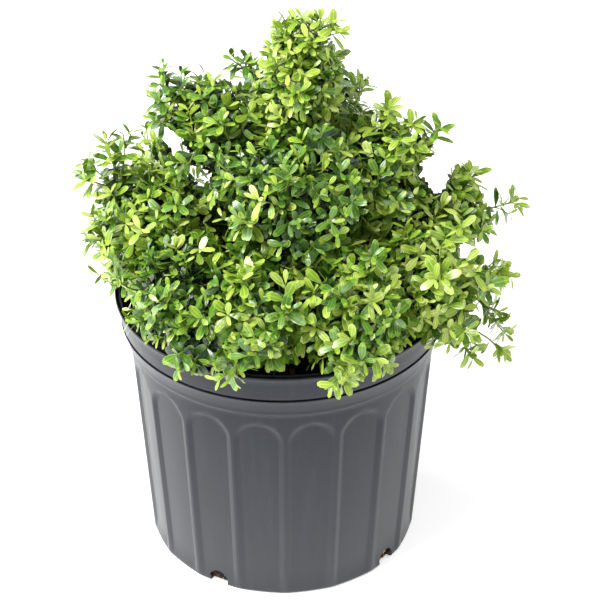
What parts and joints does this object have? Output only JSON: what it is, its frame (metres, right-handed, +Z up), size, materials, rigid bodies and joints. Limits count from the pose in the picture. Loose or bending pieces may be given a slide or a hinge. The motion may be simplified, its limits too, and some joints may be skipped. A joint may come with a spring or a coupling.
{
  "type": "potted japanese holly shrub",
  "caption": "Small-leaved evergreen shrub with a dense domed crown, growing in a round fluted plastic nursery pot filled with bark potting mix.",
  "frame": {"origin": "centre of the pot's flat underside", "axes": "+Z up along the pot's axis, -Y the plant's front, +X the plant's right as seen from the front"},
  "size_m": [0.3693, 0.3411, 0.4908],
  "materials": {
    "pot_plastic": "satin blow-moulded black polyethylene",
    "potting_mix": "loose composted bark chips",
    "bark": "thin grey-brown bark",
    "foliage": "waxy evergreen leaves"
  },
  "bodies": {
    "root": {"pot": "pot_plastic", "potting_mix": "potting_mix", "trunk": "bark", "bough_upper_left": "bark", "bough_upper_front": "bark", "bough_upper_right": "bark", "bough_upper_back": "bark", "bough_left": "bark", "bough_left_front": "bark", "bough_front_left": "bark", "bough_front_right": "bark", "bough_right_front": "bark", "bough_right": "bark", "bough_right_back": "bark", "bough_back": "bark", "bough_left_back": "bark", "foliage_top": "foliage", "foliage_upper_left": "foliage", "foliage_upper_front": "foliage", "foliage_upper_right": "foliage", "foliage_upper_back": "foliage", "foliage_left": "foliage", "foliage_left_front": "foliage", "foliage_front_left": "foliage", "foliage_front_right": "foliage", "foliage_right_front": "foliage", "foliage_right": "foliage", "foliage_right_back": "foliage", "foliage_back": "foliage", "foliage_left_back": "foliage"}
  },
  "joints": []
}
